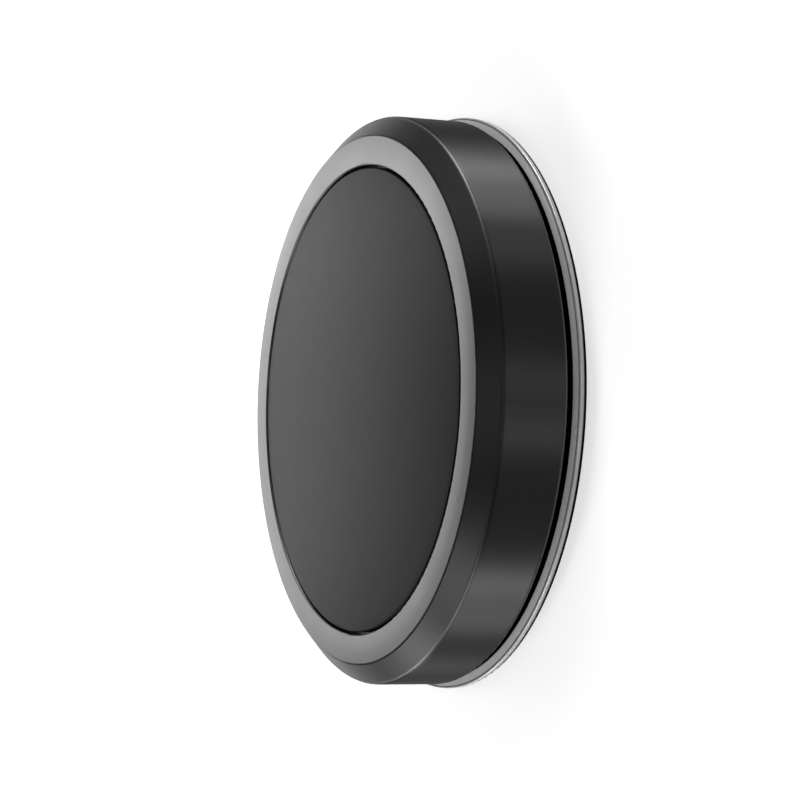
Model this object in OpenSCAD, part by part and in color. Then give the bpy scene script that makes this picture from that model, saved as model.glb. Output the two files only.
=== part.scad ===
// Magnetic phone holder, a round puck that sticks to a dashboard or a wall.
// It lies on its covered adhesive back at z = 0, and the pad that the phone meets faces +Z.
// The origin is the centre of the back.

/* [Housing] */
// Outer diameter of the metal housing
housing_d = 40; // [34:0.5:60]
// Wall of the housing where the base plugs in
wall_t = 1.45; // [1.2:0.05:1.8]
// Front wall behind the pad
web_t = 0.7; // [0.5:0.05:1.2]
// How far the inner shoulder stands in from the bore
shoulder_w = 1.55; // [1.2:0.05:2]
// Rounding inside the magnet chamber
chamber_round = 0.3; // [0.1:0.05:0.6]

/* [Front ring] */
// Width of the ring that frames the pad
ring_w = 2.1; // [1.5:0.05:3]
// Fall of the crowned ring from its lip to its outer edge
ring_drop = 0.12; // [0.05:0.01:0.25]
// Rounding of the lip beside the pad
lip_round = 0.12; // [0.05:0.01:0.3]
// Rounding between the ring and the chamfer
ring_round = 0.25; // [0.1:0.05:0.5]
// Width of the chamfer, measured along the radius
chamfer_w = 1.4; // [0.8:0.05:2]
// Height of the chamfer
chamfer_h = 1.28; // [0.8:0.02:2]
// Rounding between the chamfer and the side wall
wall_round = 0.5; // [0.1:0.05:0.8]
// Rounding at the rear edge of the side wall
rear_round = 0.33; // [0.1:0.01:0.6]
// Rounding at the mouth of the bore
bore_round = 0.15; // [0.05:0.05:0.4]

/* [Pad] */
// Thickness of the soft face pad
pad_t = 0.9; // [0.6:0.05:1.5]
// Gap all round the pad in its recess
pad_gap = 0.15; // [0.1:0.05:0.6]
// Rounding of the pad's front edge
pad_round = 0.3; // [0.1:0.05:0.55]
// Thickness of the film that bonds the pad
film_t = 0.1; // [0.05:0.05:0.3]
// How far the film stays inside the pad's edge
film_inset = 0.4; // [0.2:0.1:1.5]

/* [Magnets] */
// Number of magnets in the ring, with one screw for every two
magnet_n = 8; // [6:2:8]
// Diameter of each magnet
magnet_d = 6; // [5:0.25:8]
// Thickness of each magnet
magnet_t = 3; // [2:0.25:5]
// Rounding of a magnet's plated edges
magnet_round = 0.2; // [0.1:0.05:0.4]
// Gap round a magnet in its pocket
pocket_gap = 0.05; // [0.02:0.01:0.12]
// Thickness of the keeper plate behind the magnets
keeper_t = 1; // [0.6:0.1:2]
// Gap between the keeper plate and the spigot round it
keeper_gap = 0.3; // [0.1:0.05:0.6]
// Broken edge of the keeper plate
keeper_round = 0.12; // [0.05:0.01:0.25]

/* [Carrier] */
// Skin of the carrier in front of each magnet
skin_t = 0.4; // [0.3:0.05:0.8]
// Gap between the carrier and the housing
carrier_gap = 0.1; // [0.05:0.05:0.3]
// Wall of the carrier outside the magnets
carrier_rim = 0.85; // [0.6:0.05:1.1]
// Wall of the carrier between a magnet and a boss hole
carrier_web = 0.95; // [0.6:0.05:1.2]
// Gap round each boss in the carrier
boss_gap = 0.15; // [0.05:0.05:0.3]
// Push-out hole in front of each magnet
vent_d = 2; // [1:0.25:3]
// Wall left round each core that keeps the moulding thin
core_wall = 1.2; // [0.8:0.1:2]
// Skin left in front of the cores
core_skin = 0.8; // [0.5:0.1:1.2]

/* [Base] */
// How far the base's rim stands out past the housing
rim_out = 0.3; // [0.1:0.05:1]
// Height of the flange from its back to its lip
flange_t = 0.85; // [0.7:0.05:1.5]
// Width of the bevel between the lip and the rim
bevel_w = 0.74; // [0.4:0.02:1]
// Fall of the bevel from the lip to the rim
bevel_h = 0.24; // [0.1:0.02:0.35]
// Rounding of the lip at the shadow groove
lip_edge_round = 0.08; // [0.03:0.01:0.15]
// Rounding of the rim's front edge
rim_front_round = 0.1; // [0.04:0.01:0.12]
// Rounding of the rim's back edge
rim_back_round = 0.4; // [0.1:0.05:0.45]
// Gap that shows as a shadow line under the housing
shadow_gap = 0.45; // [0.2:0.05:0.8]
// Depth of the trough under the shadow line
trough_t = 0.3; // [0.1:0.05:0.4]
// Rounding at the foot of the trough
trough_round = 0.1; // [0.05:0.01:0.15]
// Height of the spigot above the lip
spigot_h = 2.35; // [1.8:0.05:3]
// Wall of the spigot
spigot_t = 1.5; // [1:0.05:1.8]
// Gap between the spigot and the bore
spigot_gap = 0.05; // [0.02:0.01:0.12]
// Rounding of the spigot's top edge
spigot_round = 0.2; // [0.05:0.05:0.4]
// Thickness of the base's floor
floor_t = 0.65; // [0.5:0.05:1.2]
// Rounding where the floor meets the spigot
floor_round = 0.3; // [0.1:0.05:0.5]
// Height of the ribs that bear on the keeper plate
rib_h = 0.55; // [0.4:0.05:1.5]
// Width of the ribs
rib_w = 0.8; // [0.5:0.1:1.5]

/* [Screws] */
// Thread diameter of the screws
screw_d = 2; // [1.6:0.1:2.2]
// Head diameter of the screws
head_d = 3.5; // [3:0.1:4]
// Straight edge of the head below its cone
head_edge_t = 0.1; // [0.05:0.05:0.2]
// How far the heads lie below the tape's seat
head_sink = 0.05; // [0.02:0.01:0.1]
// Gap round a head and a shank in the base
screw_gap = 0.1; // [0.05:0.05:0.2]
// Gap between the thread and the tapped boss
thread_gap = 0.02; // [0.01:0.01:0.05]
// Width of the cross drive
drive_w = 0.4; // [0.3:0.05:0.6]
// Length of the cross drive
drive_l = 1.8; // [1.2:0.1:2.4]
// Depth of the cross drive
drive_t = 0.45; // [0.3:0.05:0.6]
// Wall of each tapped boss round its screw
boss_wall = 0.98; // [0.7:0.02:1.2]
// Gap between the bosses and the keeper plate
boss_lift = 0.1; // [0.05:0.05:0.3]
// Metal left between a tapped hole and the front wall
boss_roof = 0.35; // [0.2:0.05:0.6]
// Gap between a screw's tip and the end of its hole
tip_gap = 0.2; // [0.1:0.05:0.4]
// Wall of the sleeve round each screw in the base
sleeve_wall = 0.75; // [0.5:0.05:1]

/* [Tape] */
// Thickness of the adhesive foam
tape_t = 0.9; // [0.6:0.05:1.6]
// Thickness of the liner that covers the adhesive until it is stuck down
liner_t = 0.1; // [0.05:0.05:0.2]
// Depth of the seat that holds the foam
tape_seat_t = 0.2; // [0.1:0.05:0.35]
// How far the foam stays inside the rim
tape_inset = 2.4; // [2.3:0.1:4]
// Gap between the foam and the wall of its seat
tape_gap = 0.15; // [0.05:0.05:0.4]

/* [Hidden] */
$fn = 96;
// Cutters run this far past what they cut
over = 0.3;

// Heights, from the liner's back up
seat_z = liner_t + tape_t;
back_z = seat_z - tape_seat_t;
lip_z = back_z + flange_t;
trough_z = lip_z - trough_t;
rim_z = lip_z - bevel_h;
floor_z = seat_z + floor_t;
keeper_z = floor_z + rib_h;
magnet_z = keeper_z + keeper_t;
skin_z = magnet_z + magnet_t;
web_z = skin_z + skin_t;
recess_z = web_z + web_t;
pad_z = recess_z + film_t;
front_z = pad_z + pad_t;
ring_z = front_z - ring_drop;
chamfer_z = ring_z - chamfer_h;
wall_z = lip_z + shadow_gap;
spigot_z = lip_z + spigot_h;
boss_z = magnet_z + boss_lift;
tapped_z = web_z - boss_roof;
head_z = seat_z + head_sink;

// Radii, from the outside in
housing_r = housing_d / 2;
ring_r = housing_r - chamfer_w;
recess_r = ring_r - ring_w;
pad_r = recess_r - pad_gap;
film_r = pad_r - film_inset;
bore_r = housing_r - wall_t;
chamber_r = bore_r - shoulder_w;
rim_r = housing_r + rim_out;
lip_r = rim_r - bevel_w;
spigot_r = bore_r - spigot_gap;
spigot_in_r = spigot_r - spigot_t;
keeper_r = spigot_in_r - keeper_gap;
carrier_r = min(spigot_in_r, chamber_r) - carrier_gap;
tape_r = rim_r - tape_inset;
seat_r = tape_r + tape_gap;

// Magnets and screws share one ring: the screws stand in every second space between the magnets
magnet_r = magnet_d / 2;
pocket_r = magnet_r + pocket_gap;
magnet_pitch_r = carrier_r - carrier_rim - pocket_r;
space_angle = 180 / magnet_n;
screw_n = magnet_n / 2;
screw_r = screw_d / 2;
head_r = head_d / 2;
tapped_r = screw_r + thread_gap;
boss_r = tapped_r + boss_wall;
boss_hole_r = boss_r + boss_gap;
// A boss stands as far out as its wall to both magnets lets it, or right between them where they leave it room
boss_to_magnet = pocket_r + boss_hole_r + carrier_web;
space_in = magnet_pitch_r * cos(space_angle);
space_half_w = magnet_pitch_r * sin(space_angle);
boss_pitch_r = space_in - sqrt(max(0, pow(boss_to_magnet, 2) - pow(space_half_w, 2)));
// The cores keep one wall to the pockets and holes: outer ones touch the rim's wall, the middle one clears the bosses
core_to_magnet = pocket_r + core_wall;
core_edge_r = magnet_pitch_r + pocket_r;
outer_core_r = (pow(core_edge_r - space_in, 2) + pow(space_half_w, 2) - pow(core_to_magnet, 2))
    / (2 * (core_to_magnet + core_edge_r - space_in));
middle_core_r = boss_pitch_r - boss_hole_r - core_wall;
sleeve_r = head_r + screw_gap + sleeve_wall;

// The crowned ring is an arc that is level at the lip and falls outward
crown_r = (pow(ring_w, 2) + pow(ring_drop, 2)) / (2 * ring_drop);
crown_c = [recess_r, front_z - crown_r];

function unit(v) = v / norm(v);
function magnet_angle(i) = (i - 1) * 2 * space_angle;
function screw_angle(i) = space_angle + (i - 1) * 4 * space_angle;

// Centre of the circle of radius f that touches both sides of corner p, with a and b its neighbours
function corner_centre(p, a, b, f) =
    let (u = unit(a - p), v = unit(b - p))
    p + unit(u + v) * f / sqrt((1 - u * v) / 2);

// Point of the line from p towards a that is nearest to c
function foot(c, p, a) = p + unit(a - p) * ((c - p) * unit(a - p));

// Centre of the circle of radius f that touches the line from p along u, on its side n, and the crown from inside
function crown_centre(p, u, n, f) =
    let (q = p + n * f - crown_c, b = q * u)
    p + n * f + u * (-b - sqrt(b * b - q * q + pow(crown_r - f, 2)));

// What lies between corner p and the rounding circle about c that touches its sides at t1 and t2
module corner_bit(p, c, t1, t2) {
    out = norm(p - c);
    difference() {
        polygon([
            c,
            t1 + unit(t1 - c) * out / 2,
            p + unit(p - c) * out,
            t2 + unit(t2 - c) * out / 2
        ]);
        translate(c) circle(norm(t1 - c));
    }
}

module corner_of(points, i, f) {
    n = len(points);
    p = points[i];
    a = points[(i + n - 1) % n];
    b = points[(i + 1) % n];
    c = corner_centre(p, a, b, f);
    corner_bit(p, c, foot(c, p, a), foot(c, p, b));
}

// An outline with true round corners: a positive radius takes material off, a negative one fills a corner
module rounded_outline(points, rounds) {
    difference() {
        union() {
            polygon(points);
            for (i = [0 : len(points) - 1])
                if (rounds[i] < 0) corner_of(points, i, -rounds[i]);
        }
        for (i = [0 : len(points) - 1])
            if (rounds[i] > 0) corner_of(points, i, rounds[i]);
    }
}

// Everything above the crown arc
module above_crown() {
    difference() {
        translate([recess_r - over, ring_z - over])
            square([ring_w + 2 * over, ring_drop + 4 * over]);
        translate(crown_c) circle(crown_r, $fn = 720);
    }
}

module crown_bit(p, u, n, f) {
    c = crown_centre(p, u, n, f);
    corner_bit(p, c, p + u * ((c - p) * u), crown_c + unit(c - crown_c) * crown_r);
}

// Half section of the turned shell, from the middle of the chamber round the outside to the recess
module housing_section() {
    chamfer_u = unit([chamfer_w, -chamfer_h]);
    chamfer_n = [chamfer_u.y, -chamfer_u.x];
    crest_r = ring_r - chamfer_w / chamfer_h * (ring_drop + over);
    difference() {
        rounded_outline(
            [
                [0, web_z],
                [chamber_r, web_z],
                [chamber_r, spigot_z],
                [bore_r, spigot_z],
                [bore_r, wall_z],
                [housing_r, wall_z],
                [housing_r, chamfer_z],
                [crest_r, front_z + over],
                [recess_r, front_z + over],
                [recess_r, recess_z],
                [0, recess_z]
            ],
            [0, -chamber_round, 0, 0, bore_round, rear_round, wall_round, 0, 0, 0, 0]
        );
        above_crown();
        crown_bit([recess_r, front_z], [0, -1], [1, 0], lip_round);
        crown_bit([ring_r, ring_z], chamfer_u, chamfer_n, ring_round);
    }
}

// The metal shell: crowned ring, chamfer, side wall, magnet chamber and tapped bosses
module housing() {
    color("#26272a")
    difference() {
        union() {
            rotate_extrude() housing_section();
            for (i = [1 : screw_n])
                rotate(screw_angle(i)) translate([boss_pitch_r, 0, boss_z])
                    cylinder(r = boss_r, h = web_z + web_t / 2 - boss_z);
        }
        for (i = [1 : screw_n])
            rotate(screw_angle(i)) translate([boss_pitch_r, 0, boss_z - over])
                cylinder(r = tapped_r, h = tapped_z - boss_z + over);
    }
}

// The soft pad, flush with the ring's lip
module face_pad() {
    color("#3b3b3c")
    rotate_extrude()
        rounded_outline(
            [[0, pad_z], [pad_r, pad_z], [pad_r, front_z], [0, front_z]],
            [0, 0, pad_round, 0]
        );
}

// Double-sided film between the pad and the housing
module pad_film() {
    color("#d8d2c0") translate([0, 0, recess_z]) cylinder(r = film_r, h = film_t);
}

// Moulded tray with a pocket for each magnet and a hole for each boss
module magnet_carrier() {
    edge = chamber_round;
    color("#1c1c1c")
    difference() {
        rotate_extrude()
            polygon([
                [0, magnet_z],
                [carrier_r, magnet_z],
                [carrier_r, web_z - edge],
                [carrier_r - edge, web_z],
                [0, web_z]
            ]);
        for (i = [1 : magnet_n]) rotate(magnet_angle(i)) {
            translate([magnet_pitch_r, 0, magnet_z - over]) cylinder(r = pocket_r, h = magnet_t + over);
            translate([magnet_pitch_r, 0, magnet_z]) cylinder(r = vent_d / 2, h = web_z - magnet_z + over);
        }
        for (i = [1 : screw_n]) rotate(screw_angle(i)) {
            translate([boss_pitch_r, 0, magnet_z - over])
                cylinder(r = boss_hole_r, h = web_z - magnet_z + 2 * over);
            rotate(2 * space_angle) translate([core_edge_r - outer_core_r, 0, 0]) core(outer_core_r);
        }
        core(middle_core_r);
    }
}

// A blind core from the back of the carrier
module core(r) {
    translate([0, 0, magnet_z - over]) cylinder(r = r, h = web_z - core_skin - magnet_z + over);
}

// One plated disc magnet in its pocket
module magnet(i) {
    color("#c9cbce")
    rotate(magnet_angle(i)) translate([magnet_pitch_r, 0, 0])
        rotate_extrude()
            rounded_outline(
                [[0, magnet_z], [magnet_r, magnet_z], [magnet_r, skin_z], [0, skin_z]],
                [0, magnet_round, magnet_round, 0]
            );
}

// Steel disc that closes the magnets' field at the back
module keeper_plate() {
    color("#9a9da1")
    difference() {
        rotate_extrude()
            rounded_outline(
                [[0, keeper_z], [keeper_r, keeper_z], [keeper_r, magnet_z], [0, magnet_z]],
                [0, keeper_round, keeper_round, 0]
            );
        for (i = [1 : screw_n])
            rotate(screw_angle(i)) translate([boss_pitch_r, 0, keeper_z - over])
                cylinder(r = screw_r + screw_gap, h = keeper_t + 2 * over);
    }
}

// Half section of the moulded base: tape seat, rounded rim, bevel, shadow trough and spigot
module base_section() {
    rounded_outline(
        [
            [0, seat_z],
            [seat_r, seat_z],
            [seat_r, back_z],
            [rim_r, back_z],
            [rim_r, rim_z],
            [lip_r, lip_z],
            [lip_r, trough_z],
            [spigot_r, trough_z],
            [spigot_r, spigot_z],
            [spigot_in_r, spigot_z],
            [spigot_in_r, floor_z],
            [0, floor_z]
        ],
        [
            0, 0, 0, rim_back_round, rim_front_round, lip_edge_round,
            -trough_round, -trough_round, spigot_round, 0, -floor_round, 0
        ]
    );
}

// The base that plugs into the housing and carries the tape
module base() {
    half_ring_r = (boss_pitch_r + spigot_in_r) / 2;
    sunk = floor_t / 2;
    color("#6b6d70")
    difference() {
        union() {
            rotate_extrude() base_section();
            translate([0, 0, floor_z - sunk]) {
                difference() {
                    cylinder(r = half_ring_r + rib_w / 2, h = rib_h + sunk);
                    translate([0, 0, -over]) cylinder(r = half_ring_r - rib_w / 2, h = rib_h + sunk + 2 * over);
                }
                for (i = [1 : magnet_n]) rotate(screw_angle(1) + magnet_angle(i))
                    translate([boss_pitch_r, -rib_w / 2, 0])
                        cube([spigot_in_r + spigot_t / 3 - boss_pitch_r, rib_w, rib_h + sunk]);
                for (i = [1 : screw_n]) rotate(screw_angle(i)) translate([boss_pitch_r, 0, 0])
                    cylinder(r = sleeve_r, h = rib_h + sunk);
            }
        }
        for (i = [1 : screw_n]) rotate(screw_angle(i)) translate([boss_pitch_r, 0, 0]) {
            screw_shape(screw_gap, back_z);
        }
    }
}

// Envelope of a countersunk screw from open_z up. The gap widens it but leaves the cone where the head bears
module screw_shape(gap, open_z) {
    head_top = head_z + head_edge_t - gap;
    translate([0, 0, open_z]) cylinder(r = head_r + gap, h = head_top - open_z);
    translate([0, 0, head_top]) cylinder(r1 = head_r + gap, r2 = screw_r + gap, h = head_r - screw_r);
    translate([0, 0, head_top]) cylinder(r = screw_r + gap, h = tapped_z - tip_gap - head_top);
}

// One countersunk screw, from the tape's seat into its boss
module screw(i) {
    color("#55585c")
    rotate(screw_angle(i)) translate([boss_pitch_r, 0, 0])
        difference() {
            screw_shape(0, head_z);
            for (turn = [0, 90]) rotate(turn)
                translate([-drive_l / 2, -drive_w / 2, head_z - over]) cube([drive_l, drive_w, drive_t + over]);
        }
}

// Double-sided adhesive foam in its seat
module foam_tape() {
    color("#2e2e30") translate([0, 0, liner_t]) cylinder(r = tape_r, h = tape_t);
}

// Thin liner, cut with the foam, that is peeled off before the puck is stuck down
module release_liner() {
    color("#d6dcd8") cylinder(r = tape_r, h = liner_t);
}

housing();
face_pad();
pad_film();
magnet_carrier();
for (i = [1 : magnet_n]) magnet(i);
keeper_plate();
base();
for (i = [1 : screw_n]) screw(i);
foam_tape();
release_liner();
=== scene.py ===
# %% [markdown]
# # A magnetic phone holder, dressed in Blender
#
# The object is a round puck, 40 mm across, that sticks to a dashboard or a wall. A dark metal shell frames
# a soft pad, and a lighter base with a bevelled rim shows behind a black shadow line. The CAD model already
# has the true shapes and fits. This lesson gives each piece its finish, remakes the three soft sheets (pad,
# foam and liner) with their real edges, and sets up a small studio round the puck.
#
# The model is in metres, with the back of the puck on the floor and its axis pointing up. Sizes in this
# file are written in millimetres and multiplied by MM where Blender needs metres.

import math

import bpy
from mathutils import Matrix, Vector


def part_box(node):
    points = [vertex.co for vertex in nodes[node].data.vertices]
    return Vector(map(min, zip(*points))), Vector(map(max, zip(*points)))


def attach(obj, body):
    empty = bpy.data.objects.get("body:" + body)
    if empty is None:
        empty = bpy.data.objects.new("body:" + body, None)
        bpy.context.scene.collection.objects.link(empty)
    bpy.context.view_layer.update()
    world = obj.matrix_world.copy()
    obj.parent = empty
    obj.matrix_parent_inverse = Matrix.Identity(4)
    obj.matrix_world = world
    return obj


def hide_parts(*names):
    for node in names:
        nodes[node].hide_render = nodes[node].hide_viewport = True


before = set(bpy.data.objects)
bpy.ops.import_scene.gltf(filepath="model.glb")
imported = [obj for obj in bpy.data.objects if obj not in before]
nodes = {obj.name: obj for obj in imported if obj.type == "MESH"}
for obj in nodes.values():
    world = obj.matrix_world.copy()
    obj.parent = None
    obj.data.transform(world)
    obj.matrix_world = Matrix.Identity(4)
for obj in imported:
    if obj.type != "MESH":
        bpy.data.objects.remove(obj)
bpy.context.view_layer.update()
MM = 0.001
print("pieces from the CAD model:", len(nodes))

# %% [markdown]
# ## The camera
#
# The puck lies on its back, so the photograph, which shows it as if on a wall, is matched by a camera that
# looks down at it from the +X side and is rolled a quarter turn. The place, the roll and the lens come from
# a pinhole camera fitted to the circles that the photograph shows. A camera is a matrix whose columns are
# its right, its up and its backward direction, followed by its place. Setting the matrix is surer than
# three angles, because a roll and a tilt in the wrong order give another picture.

# %% Place the camera
CAMERA_AT = Vector((193.41, 0.07, 95.31)) * MM
CAMERA_RIGHT = Vector((0.42311, 0.03699, -0.90540))
CAMERA_UP = Vector((-0.01566, 0.99932, 0.03351))
LENS_MM = 135.6
SENSOR_MM = 36
NEAREST = 0.01
FARTHEST = 10


def place_camera(at, right, up, lens):
    data = bpy.data.cameras.new("photo_camera")
    data.lens = lens
    data.sensor_width = SENSOR_MM
    data.clip_start = NEAREST
    data.clip_end = FARTHEST
    right = right.normalized()
    back = right.cross(up).normalized()
    up = back.cross(right)
    turn = Matrix((right, up, back)).transposed().to_4x4()
    camera = bpy.data.objects.new("photo_camera", data)
    camera.matrix_world = Matrix.Translation(at) @ turn
    bpy.context.scene.collection.objects.link(camera)
    bpy.context.scene.camera = camera
    return camera


camera = place_camera(CAMERA_AT, CAMERA_RIGHT, CAMERA_UP, LENS_MM)
print("camera distance in mm:", round(camera.location.length / MM, 1))

# %% [markdown]
# ## A helper for node materials
#
# Each finish below is a small node graph. The helper keeps those graphs short: it adds a node, sets its
# named inputs to numbers, and links the inputs that are given as outputs of other nodes. An input can also
# be given by its number, as i0 or i1, because the inputs of a math or mix node share their names.
#
# The finishes are worked out from the place of the shaded point on the piece. Where a border runs round the
# puck, they use its height or its distance from the axis. So they stay on the piece from every side and
# under any light, and no picture has to be wrapped round it.


# %% Node helper
class Finish:
    """A material with a Principled shader, and short ways to add the nodes that feed it."""

    def __init__(self, name, **principled):
        self.material = bpy.data.materials.new(name)
        self.material.use_nodes = True
        self.tree = self.material.node_tree
        self.tree.nodes.clear()
        self.out = self.tree.nodes.new("ShaderNodeOutputMaterial")
        self.shader = self.add("ShaderNodeBsdfPrincipled", **principled)
        self.show(self.shader)

    def add(self, kind, settings=None, **inputs):
        node = self.tree.nodes.new(kind)
        for key, value in (settings or {}).items():
            setattr(node, key, value)
        for key, value in inputs.items():
            self.put(node, key, value)
        return node

    def put(self, node, key, value):
        """Sets an input, by its name (_ for a space) or its number, to a number or another output."""
        by_number = key[0] == "i" and key[1:].isdigit()
        socket = node.inputs[int(key[1:])] if by_number else node.inputs[key.replace("_", " ")]
        if isinstance(value, bpy.types.NodeSocket):
            self.tree.links.new(value, socket)
        else:
            socket.default_value = value

    def show(self, shader):
        """Makes this shader the one that the material shows."""
        self.tree.links.new(shader.outputs[0], self.out.inputs["Surface"])

    def blend(self, factor, low, high):
        """A blend of two shaders: low where the factor is 0, high where it is 1."""
        return self.add("ShaderNodeMixShader", i0=factor, i1=low.outputs[0], i2=high.outputs[0])

    def math(self, operation, a, b=0.0):
        return self.add("ShaderNodeMath", {"operation": operation}, i0=a, i1=b).outputs[0]

    def ramp(self, value, low, high, out_low, out_high):
        node = self.add("ShaderNodeMapRange", Value=value, From_Min=low, From_Max=high)
        node.inputs["To Min"].default_value = out_low
        node.inputs["To Max"].default_value = out_high
        return node.outputs[0]

    def past(self, value, border, blur):
        """0 below a border and 1 past it. The border and the half width of its soft edge are in mm."""
        return self.ramp(value, (border - blur) * MM, (border + blur) * MM, 0.0, 1.0)

    def noise(self, vector, scale, detail=2.0, roughness=0.5):
        """Soft random spots. The scale is how many of them fit in a metre."""
        node = self.add("ShaderNodeTexNoise", Vector=vector, Scale=scale, Detail=detail, Roughness=roughness)
        return node.outputs[0]

    def mix(self, factor, low, high):
        """Blends two colours, each given as numbers or as the output of another blend."""
        node = self.add("ShaderNodeMix", {"data_type": "RGBA"}, i0=factor)
        for slot, colour in (("i6", low), ("i7", high)):
            self.put(node, slot, (*colour, 1) if isinstance(colour, tuple) else colour)
        return node.outputs[2]

    def bump(self, height, strength, distance, under=None):
        node = self.add("ShaderNodeBump", Strength=strength, Distance=distance, Height=height)
        if under is not None:
            self.put(node, "Normal", under)
        return node.outputs[0]

    def place(self):
        """The point being shaded, in metres, in the piece's own frame."""
        return self.add("ShaderNodeTexCoord").outputs["Object"]

    def height(self):
        return self.add("ShaderNodeSeparateXYZ", Vector=self.place()).outputs[2]

    def radius(self):
        """The distance of the point from the puck's axis."""
        x, y, z = self.add("ShaderNodeSeparateXYZ", Vector=self.place()).outputs
        return self.math("SQRT", self.math("ADD", self.math("MULTIPLY", x, x), self.math("MULTIPLY", y, y)))

    def turned_place(self):
        """The point as (distance from the axis, height), so that a texture runs round the puck."""
        return self.add("ShaderNodeCombineXYZ", X=self.radius(), Y=self.height()).outputs[0]


def dress(node_name, finish):
    data = nodes[node_name].data
    data.materials.clear()
    data.materials.append(finish.material)


def grey(level):
    return (level, level, level)


print("node helper ready")

# %% [markdown]
# ## The skin that a finish adds
#
# No real surface has one even colour or one even gloss. A mottle, which is soft noise a few millimetres
# wide, moves the colour and the gloss a little. Where it picks the gloss, only its middle range is used
# (MOTTLE_LOW to MOTTLE_HIGH), because noise seldom reaches 0 or 1. A finer grain goes into a bump, only a
# few hundredths of a millimetre deep: too small to cut into a mesh, and far too small to change a shape.

# %% Skin values
MOTTLE_LOW = 0.3
MOTTLE_HIGH = 0.7
FINE = 0.02 * MM


def gloss(finish, mottle, smoothest, dullest):
    return finish.ramp(mottle, MOTTLE_LOW, MOTTLE_HIGH, smoothest, dullest)


print("fine bump depth in mm:", FINE / MM)

# %% [markdown]
# ## The dark metal shell: the front
#
# The real shell is turned from aluminium and coated a dark gun-metal grey. The ring round the pad is given a
# lighter grey than the chamfer beside it, and the side wall a darker one still: lit and shaded copies of one
# coat, painted light and shade for how bright each face looks. The ring and the chamfer have an even satin
# gloss, with faint turning lines under the coat. The lines are noise that knows only the radius and the
# height, so they run round the puck as they do on a lathe. A coat shines less at a grazing angle than bare
# metal does, and a darker specular tint takes that shine down.

# %% Front of the shell
# The ring and chamfer greys are lit and shaded copies of the one coat: painted light and shade.
RING_GREY = 0.088, 0.098
CHAMFER_GREY = 0.053, 0.060
RING_RADIUS = 18.58
FRONT_ROUGH = 0.33, 0.37
FRONT_GRAZE = 0.75
TURNING_LINES = 9000
SHELL_MOTTLE = 260
SHELL_GRAIN = 16000


def shell_front():
    """The finish with its front shader, the mottle and the turning lines, which the side shader shares."""
    f = Finish("housing_metal", Metallic=1.0)
    f.shader.inputs["Specular Tint"].default_value = (*grey(FRONT_GRAZE), 1)
    mottle = f.noise(f.place(), SHELL_MOTTLE, detail=4)
    grain = f.bump(f.noise(f.place(), SHELL_GRAIN, detail=1), 0.05, FINE)
    lines = f.bump(f.noise(f.turned_place(), TURNING_LINES, detail=3), 0.08, FINE, under=grain)
    ring, chamfer = (f.mix(mottle, grey(dark), grey(light)) for dark, light in (RING_GREY, CHAMFER_GREY))
    f.put(f.shader, "Base_Color", f.mix(f.past(f.radius(), RING_RADIUS, 0.04), ring, chamfer))
    f.put(f.shader, "Roughness", gloss(f, mottle, *FRONT_ROUGH))
    f.put(f.shader, "Normal", lines)
    return f, mottle, lines


shell, shell_mottle, shell_lines = shell_front()
print("front of the shell, nodes so far:", len(shell.tree.nodes))

# %% [markdown]
# ## The dark metal shell: the side wall
#
# On the side wall the turning lines show more, and stretch each reflection along the axis. That is why the
# wall has light and dark bands across it. Grooves could be cut into the mesh, but at a hundredth of a
# millimetre they would cost millions of faces. Anisotropy on the shader does the same, with a tangent that
# runs round the axis.
#
# The lines are taken as tiny saw teeth whose long sides face a little up. WALL_LEAN tilts the wall's shading
# by that slope, so the wall shows what stands round the puck rather than the floor, while its mesh stays
# straight. At the rear edge a lighter line runs round: a painted glint, standing in for the highlight that
# the edge's rounding catches. The wall and the front are two shaders of one material, blended by height
# where the chamfer ends.

# %% Side of the shell
# The wall grey is the darkest copy of the same coat: painted shade.
WALL_GREY = 0.024, 0.028
# The lighter grey here is a painted glint at the rear edge, standing in for the highlight its rounding
# catches.
WALL_GLINT_GREY = 0.10
WALL_ROUGH = 0.41, 0.43
WALL_GRAZE = 0.52
WALL_STRETCH = 0.83
QUARTER_TURN = 0.25
WALL_LEAN = 0.3
GLINT_FROM_REAR = 0.19
CHAMFER_FROM_TOP = 1.375


def add_shell_side(f, mottle, lines):
    side = f.add("ShaderNodeBsdfPrincipled", Metallic=1.0, Anisotropic=WALL_STRETCH)
    f.put(side, "Anisotropic_Rotation", QUARTER_TURN)
    side.inputs["Specular Tint"].default_value = (*grey(WALL_GRAZE), 1)
    rear, top = (corner.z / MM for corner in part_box("housing"))
    # Below this height the wall gets the painted glint.
    past_glint = f.past(f.height(), rear + GLINT_FROM_REAR, 0.07)
    wall = f.mix(mottle, *(grey(level) for level in WALL_GREY))
    lean = f.bump(f.math("MULTIPLY", f.height(), -WALL_LEAN), 1.0, 1.0, under=lines)
    f.put(side, "Base_Color", f.mix(past_glint, grey(WALL_GLINT_GREY), wall))
    f.put(side, "Roughness", gloss(f, mottle, *WALL_ROUGH))
    f.put(side, "Normal", lean)
    f.put(side, "Tangent", f.add("ShaderNodeTangent", {"direction_type": "RADIAL", "axis": "Z"}).outputs[0])
    f.show(f.blend(f.past(f.height(), top - CHAMFER_FROM_TOP, 0.075), side, f.shader))


add_shell_side(shell, shell_mottle, shell_lines)
dress("housing", shell)
print("shell dressed, nodes:", len(shell.tree.nodes))

# %% [markdown]
# ## The base
#
# The base is one moulding with four zones, all of them rings: a pale satin bevel, a thin dark crease outside
# it, a lighter rounded rim, and near black in the groove on the inside and on the underside. The crease and
# the near black are painted shade, put where shade falls. The CAD model has the steps between them. The
# distance from the axis and the height choose the zone, which needs no extra faces and keeps each border a
# clean circle. The painted shade in the groove and underneath is a plain dull shader, because even a dark
# Principled shader keeps a gloss, and that would turn the shadow line grey.

# %% Base finish
BEVEL_GREY = 0.54, 0.60
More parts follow.
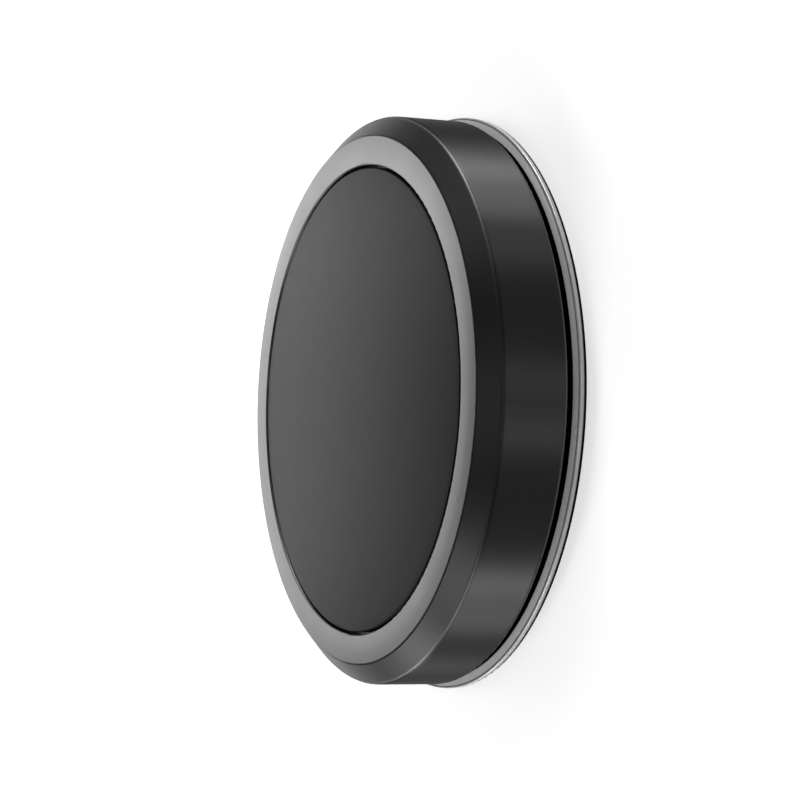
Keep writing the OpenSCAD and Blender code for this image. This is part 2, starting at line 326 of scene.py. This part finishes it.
# The crease grey is painted shade: a dark line where the bevel meets the rim.
CREASE_SHADE_GREY = 0.06
RIM_GREY = 0.30, 0.34
# The shade grey is painted shade: near black in the groove and on the underside, where shade falls.
SHADE_GREY = 0.003, 0.005
GROOVE_RADIUS = 19.5
BEVEL_RADIUS = 20.12
RIM_RADIUS = 20.18
UNDER_HEIGHT = 1.16
BASE_ROUGH = 0.25, 0.30


def base_finish():
    f = Finish("base_moulding", Metallic=0.3)
    mottle = f.noise(f.place(), 300, detail=3)
    bevel, rim, shade = (f.mix(mottle, grey(a), grey(b)) for a, b in (BEVEL_GREY, RIM_GREY, SHADE_GREY))
    radius = f.radius()
    # Past the bevel's border comes the thin line of painted shade in the crease.
    inner = f.mix(f.past(radius, BEVEL_RADIUS, 0.02), bevel, grey(CREASE_SHADE_GREY))
    f.put(f.shader, "Base_Color", f.mix(f.past(radius, RIM_RADIUS, 0.02), inner, rim))
    f.put(f.shader, "Roughness", gloss(f, mottle, *BASE_ROUGH))
    f.put(f.shader, "Normal", f.bump(f.noise(f.place(), 12000, detail=2), 0.05, FINE))
    # This dull near-black shader is the painted shade for the groove and the underside.
    black = f.add("ShaderNodeBsdfDiffuse", Color=shade, Roughness=1.0)
    shown = f.math("MULTIPLY", f.past(radius, GROOVE_RADIUS, 0.02), f.past(f.height(), UNDER_HEIGHT, 0.04))
    f.show(f.blend(shown, black, f.shader))
    return f


dress("base", base_finish())
print("base dressed")

# %% [markdown]
# ## A turned mesh
#
# The pad, the foam and the liner are all discs. Their CAD solids could be dressed as they are, but a soft
# sheet has an edge that a plain disc lacks. So each is made again the way a lathe would: an outline is
# drawn once in (radius, height) and spun round the axis. Where the outline meets the axis, all the points
# of that ring are one point, and the faces there become triangles.


# %% Outline and lathe helpers
def arc(centre, radius, start, end, steps):
    """Points of an arc in the (radius, height) plane, with angles in degrees."""
    angles = [math.radians(start + (end - start) * i / steps) for i in range(steps + 1)]
    return [(centre[0] + radius * math.cos(a), centre[1] + radius * math.sin(a)) for a in angles]


def turned(name, outline, around=256, sharp=40):
    """Spins an outline in mm into a mesh. It is closed if the outline starts and ends on the axis."""
    steps = [2 * math.pi * i / around for i in range(around)]
    points, faces, rings = [], [], []
    for r, z in outline:
        if r < 1e-6:
            rings.append([len(points)] * around)
            points.append((0, 0, z * MM))
        else:
            rings.append(list(range(len(points), len(points) + around)))
            points += [(r * MM * math.cos(a), r * MM * math.sin(a), z * MM) for a in steps]
    for low, high in zip(rings, rings[1:]):
        for i in range(around):
            j = (i + 1) % around
            corners = [low[i], low[j], high[j], high[i]]
            faces.append(list(dict.fromkeys(corners)))
    mesh = bpy.data.meshes.new(name)
    mesh.from_pydata(points, [], faces)
    mesh.shade_smooth()
    mesh.set_sharp_from_angle(angle=math.radians(sharp))
    piece = bpy.data.objects.new(name, mesh)
    bpy.context.scene.collection.objects.link(piece)
    return piece


def disc_size(node_name):
    """The radius, the bottom and the top of a CAD disc, in mm."""
    low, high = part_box(node_name)
    return high.x / MM, low.z / MM, high.z / MM


def stand_in(piece, finish, node_name):
    """Dresses a piece and lets it take the place of a CAD node on the root body."""
    piece.data.materials.append(finish.material)
    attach(piece, "root")
    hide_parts(node_name)
    print(piece.name, "stands for", node_name, "with", len(piece.data.polygons), "faces")


print("pad radius, bottom and top in mm:", [round(size, 2) for size in disc_size("face_pad")])

# %% [markdown]
# ## The soft pad: its shape
#
# The pad is a silicone disc, flush with the ring's lip. Its edge is rounded by PAD_EDGE, and its middle
# stands a few hundredths of a millimetre above the edge (PAD_CROWN), the way a sheet does when it is
# pressed down at its rim.

# %% Pad outline
PAD_EDGE = 0.14
PAD_CROWN = 0.04
PAD_FOOT = 0.06
PAD_RINGS = 24


def pad_outline():
    r, bottom, top = disc_size("face_pad")
    flat = r - PAD_EDGE
    rim = arc((flat, top - PAD_CROWN - PAD_EDGE), PAD_EDGE, 0, 90, 14)
    shares = [i / PAD_RINGS for i in range(PAD_RINGS - 1, -1, -1)]
    crown = [(flat * share, top - PAD_CROWN * share**2) for share in shares]
    return [(0, bottom), (r - PAD_FOOT, bottom), (r, bottom + PAD_FOOT), *rim, *crown]


print("pad outline points:", len(pad_outline()))

# %% [markdown]
# ## The soft pad: its skin
#
# The skin is matt, dark and slightly pebbled, so that it grips the phone. Light falls off softly across it
# from one side to the other. A true crown that strong would stand out of the ring, so the shading carries
# the crown further than the mesh does (PAD_SHADED_CROWN): it is a smooth bowl of (radius / edge) squared,
# and the pebbles lie on top. Silicone scatters light in two ways, with a soft gloss and with a dull part. A
# blend of two shaders gives both.

# %% Pad finish
PAD_GREY = 0.0060, 0.0075
PAD_SHADED_CROWN = 0.85
PAD_ROUGH = 0.41, 0.43
PAD_GLOSS_SHARE = 0.52
PEBBLES = 5200
PEBBLE_DEPTH = 0.03 * MM


def pad_finish():
    f = Finish("soft_pad", IOR=1.45, Specular_IOR_Level=0.15)
    mottle = f.noise(f.place(), 700, detail=3)
    colour = f.mix(mottle, *(grey(level) for level in PAD_GREY))
    share = f.math("DIVIDE", f.radius(), disc_size("face_pad")[0] * MM)
    bowl = f.math("MULTIPLY", f.math("MULTIPLY", share, share), -1.0)
    crown = f.bump(bowl, 1.0, PAD_SHADED_CROWN * MM)
    skin = f.bump(f.noise(f.place(), PEBBLES, detail=3), 0.2, PEBBLE_DEPTH, under=crown)
    f.put(f.shader, "Base_Color", colour)
    f.put(f.shader, "Roughness", gloss(f, mottle, *PAD_ROUGH))
    f.put(f.shader, "Normal", skin)
    dull = f.add("ShaderNodeBsdfDiffuse", Color=colour, Roughness=1.0, Normal=skin)
    f.show(f.blend(PAD_GLOSS_SHARE, dull, f.shader))
    return f


pad = turned("pad_skin", pad_outline())
stand_in(pad, pad_finish(), "face_pad")

# %% [markdown]
# ## The adhesive foam
#
# Black closed-cell foam, cut as a disc and pressed into its seat. A die cuts it, so the two cut edges are
# drawn in and the middle of the side bulges out between them (FOAM_BULGE). The cells are a Voronoi texture:
# each cell is dark at its middle and lighter at its wall, and the same pattern gives the bump.

# %% Foam piece and finish
FOAM_BULGE = 0.06
FOAM_STEPS = 10
FOAM_CELLS = 6000.0
FOAM_DARK = (0.016, 0.016, 0.017)
FOAM_LIGHT = (0.030, 0.030, 0.031)


def foam_outline():
    r, bottom, top = disc_size("foam_tape")
    shares = [i / FOAM_STEPS for i in range(FOAM_STEPS + 1)]
    drawn_in = [FOAM_BULGE * abs(math.cos(math.pi * share)) ** 3 for share in shares]
    side = [(r - inward, bottom + (top - bottom) * share) for inward, share in zip(drawn_in, shares)]
    return [(0, bottom), *side, (0, top)]


def foam_finish():
    f = Finish("adhesive_foam", Metallic=0.0, IOR=1.4, Roughness=0.85)
    cells = f.add("ShaderNodeTexVoronoi", Vector=f.place(), Scale=FOAM_CELLS).outputs["Distance"]
    f.put(f.shader, "Base_Color", f.mix(cells, FOAM_DARK, FOAM_LIGHT))
    f.put(f.shader, "Normal", f.bump(cells, 0.6, 0.05 * MM))
    return f


foam = turned("foam_disc", foam_outline(), around=192)
stand_in(foam, foam_finish(), "foam_tape")

# %% [markdown]
# ## The release liner
#
# A thin coated paper covers the adhesive until the puck is stuck down. It is die-cut from the foam's side,
# so its edge is pressed down slightly (LINER_PRESSED, as a share of its thickness), and its face is pale
# and a little glossy with faint paper fibres.

# %% Liner piece and finish
LINER_PRESSED = 0.3
LINER_SHOULDER = 0.5
LINER_FOOT = 0.03
LINER_DARK = (0.60, 0.64, 0.61)
LINER_LIGHT = (0.70, 0.74, 0.71)


def liner_outline():
    r, bottom, top = disc_size("release_liner")
    shares = [i / 6 for i in range(6, -1, -1)]
    drop = (top - bottom) * LINER_PRESSED
    shoulder = [(r - LINER_SHOULDER * (1 - share), top - drop * share**2) for share in shares]
    return [(0, bottom), (r - LINER_FOOT, bottom), (r, bottom + LINER_FOOT), *shoulder, (0, top)]


def liner_finish():
    f = Finish("liner_paper", IOR=1.45)
    fibres = f.noise(f.place(), 1800, detail=6)
    f.put(f.shader, "Base_Color", f.mix(fibres, LINER_DARK, LINER_LIGHT))
    f.put(f.shader, "Roughness", gloss(f, fibres, 0.35, 0.45))
    f.put(f.shader, "Normal", f.bump(fibres, 0.1, FINE))
    return f


liner = turned("liner_sheet", liner_outline(), around=192)
stand_in(liner, liner_finish(), "release_liner")

# %% [markdown]
# ## The pieces inside
#
# Nobody sees them until the puck is opened, but each has its own finish: nickel on the magnets, zinc on the
# keeper plate, dark steel for the screws, black plastic for the carrier, and a pale bonding film. They are
# simple enough to share one recipe: a cloud of noise moves the colour, the gloss and a faint bump together,
# as wear and plating do.

# %% One recipe for the inner pieces
def clouded(name, colour, darkest, roughness, scale, detail, bump, **principled):
    """A finish whose cloud runs from the colour times darkest up to the colour itself."""
    f = Finish(name, **principled)
    cloud = f.noise(f.place(), scale, detail=detail)
    f.put(f.shader, "Base_Color", f.mix(cloud, tuple(part * darkest for part in colour), colour))
    f.put(f.shader, "Roughness", gloss(f, cloud, roughness - 0.05, roughness + 0.05))
    f.put(f.shader, "Normal", f.bump(cloud, bump, FINE))
    return f


def plain_metal(name, colour, roughness, scale):
    return clouded(name, colour, 0.85, roughness, scale, detail=4, bump=0.05, Metallic=1.0)


def plain_plastic(name, colour, roughness, scale):
    return clouded(name, colour, 0.8, roughness, scale, detail=3, bump=0.1, Metallic=0.0, IOR=1.5)


print("recipes for metal and plastic ready")

# %% Dress the inner pieces
NICKEL = plain_metal("magnet_plating", (0.62, 0.62, 0.60), 0.18, 900)
ZINC = plain_metal("keeper_steel", (0.50, 0.52, 0.55), 0.32, 1500)
DARK_STEEL = plain_metal("screw_steel", (0.12, 0.12, 0.13), 0.35, 2500)
BLACK_PLASTIC = plain_plastic("moulded_black", grey(0.022), 0.5, 3000)
FILM = plain_plastic("bond_film", (0.66, 0.62, 0.52), 0.6, 2000)
INNER = {"keeper_plate": ZINC, "magnet_carrier": BLACK_PLASTIC, "pad_film": FILM}
INNER.update({f"magnet_{i}": NICKEL for i in range(1, 9)})
INNER.update({f"screw_{i}": DARK_STEEL for i in range(1, 5)})
for name, finish in INNER.items():
    dress(name, finish)
print("inner pieces dressed:", len(INNER))

# %% [markdown]
# ## The studio
#
# The floor is a plain sheet of pale paper, and a low backdrop curves up from it all round, so that a view
# from near the floor ends in paper too. The lamps light the paper to a pale grey only. A glow lifts it to
# white. Only the camera, reflections and clear materials see that glow, so it puts no light on dull
# surfaces, though the metal mirrors it, and the puck's shadow stays faintly there. The lamps reach less far
# out, so the glow grows with the distance from the puck.

# %% Floor and backdrop
PAPER_GREY = 0.80, 0.82
GLOW_NEAR = 0.60
GLOW_FAR = 0.80
GLOW_FROM = 0.10
GLOW_TO = 0.70
FLOOR_RADIUS = 1200
BACKDROP_CURVE = 130
BACKDROP_TOP = 155


def paper_finish():
    f = Finish("studio_paper", Roughness=0.9, Specular_IOR_Level=0.0)
    tooth = f.noise(f.place(), 900, detail=3)
    f.put(f.shader, "Base_Color", f.mix(tooth, *(grey(level) for level in PAPER_GREY)))
    path = f.add("ShaderNodeLightPath").outputs
    seen = f.math("MAXIMUM", path["Is Camera Ray"], path["Is Glossy Ray"])
    seen = f.math("MAXIMUM", seen, path["Is Transmission Ray"])
    glow = f.ramp(f.radius(), GLOW_FROM, GLOW_TO, GLOW_NEAR, GLOW_FAR)
    light = f.add("ShaderNodeEmission", Strength=f.math("MULTIPLY", seen, glow))
    f.show(f.add("ShaderNodeAddShader", i0=f.shader.outputs[0], i1=light.outputs[0]))
    return f


paper = paper_finish()
curve = arc((FLOOR_RADIUS, BACKDROP_CURVE), BACKDROP_CURVE, -90, 0, 16)
floor = turned("studio_floor", [(0, 0), (100, 0), (400, 0), (FLOOR_RADIUS, 0)], around=96)
backdrop = turned("studio_backdrop", [*curve, (FLOOR_RADIUS + BACKDROP_CURVE, BACKDROP_TOP)], around=96)
for stage_piece in (floor, backdrop):
    stage_piece.data.materials.append(paper.material)
print("floor and backdrop faces:", len(floor.data.polygons), len(backdrop.data.polygons))

# %% [markdown]
# ## The lamps
#
# Dark glossy metal shows its lamps more than its own colour, so the puck is lit by small soft cards placed
# round it. Most stand in a low ring, just above the table: those draw the light bands on the side wall, and
# the gaps between them draw the dark ones. A few higher cards light the ring round the pad and the chamfer.
# Two small cards close behind the puck make the pad and the ring fall off in brightness across the picture,
# because light from a near lamp fades quickly. Azimuth 0 is +X, where the camera is, and grows towards +Y,
# the top of the picture.

# %% Lamp table
FAR = 0.60
NEAR = 0.12
LOW_RIGHT = {10: 0.31, 60: 0.31, 80: 1.01, 90: 0.65, 100: 2.02, 110: 0.53, 170: 0.32}
LOW_LEFT = {180: 0.12, 190: 0.21, 240: 0.89, 270: 0.88, 280: 0.45, 290: 1.25, 350: 0.42}
LAMP_RINGS = [
    # (name, elevation, distance, width, height, {azimuth: watts})
    ("low", 8, FAR, 0.105, 0.17, {**LOW_RIGHT, **LOW_LEFT}),
    ("middle", 25, FAR, 0.17, 0.17, {180: 0.46, 240: 0.33}),
    ("high", 45, FAR, 0.21, 0.21, {90: 0.06, 270: 0.32}),
    ("top", 66, FAR, 0.25, 0.25, {0: 0.08}),
    ("near", 35, NEAR, 0.03, 0.03, {160: 0.0145, 200: 0.0050}),
]
print("rings of lamps:", len(LAMP_RINGS))


# %% Hang the lamps
def soft_card(name, azimuth, elevation, distance, width, height, watts):
    """A soft rectangular lamp that looks at the puck and isn't seen by the camera."""
    a, e = math.radians(azimuth), math.radians(elevation)
    data = bpy.data.lights.new(name, "AREA")
    data.shape = "RECTANGLE"
    data.size = width
    data.size_y = height
    data.energy = watts
    lamp = bpy.data.objects.new(name, data)
    lamp.location = Vector((math.cos(a) * math.cos(e), math.sin(a) * math.cos(e), math.sin(e))) * distance
    lamp.rotation_euler = lamp.location.to_track_quat("Z", "Y").to_euler()
    lamp.visible_camera = False
    bpy.context.scene.collection.objects.link(lamp)
    return lamp


for ring, elevation, distance, width, height, cards in LAMP_RINGS:
    for azimuth, watts in cards.items():
        soft_card(f"{ring}_{azimuth:03d}", azimuth, elevation, distance, width, height, watts)
    print(ring, "lamps:", len(cards), "with", round(sum(cards.values()), 2), "watts in all")

# %% [markdown]
# ## The air of the room
#
# The world is a dim, even white. It only keeps the darkest reflections from going fully black, as the walls
# of a room would. The Standard view shows each colour as it is written, with no film curve over it.

# %% World
AIR_STRENGTH = 0.09

world = bpy.data.worlds.new("studio_air")
world.use_nodes = True
air = world.node_tree.nodes["Background"]
air.inputs["Color"].default_value = (1, 1, 1, 1)
air.inputs["Strength"].default_value = AIR_STRENGTH
bpy.context.scene.world = world
bpy.context.scene.view_settings.view_transform = "Standard"
print("world strength:", AIR_STRENGTH)
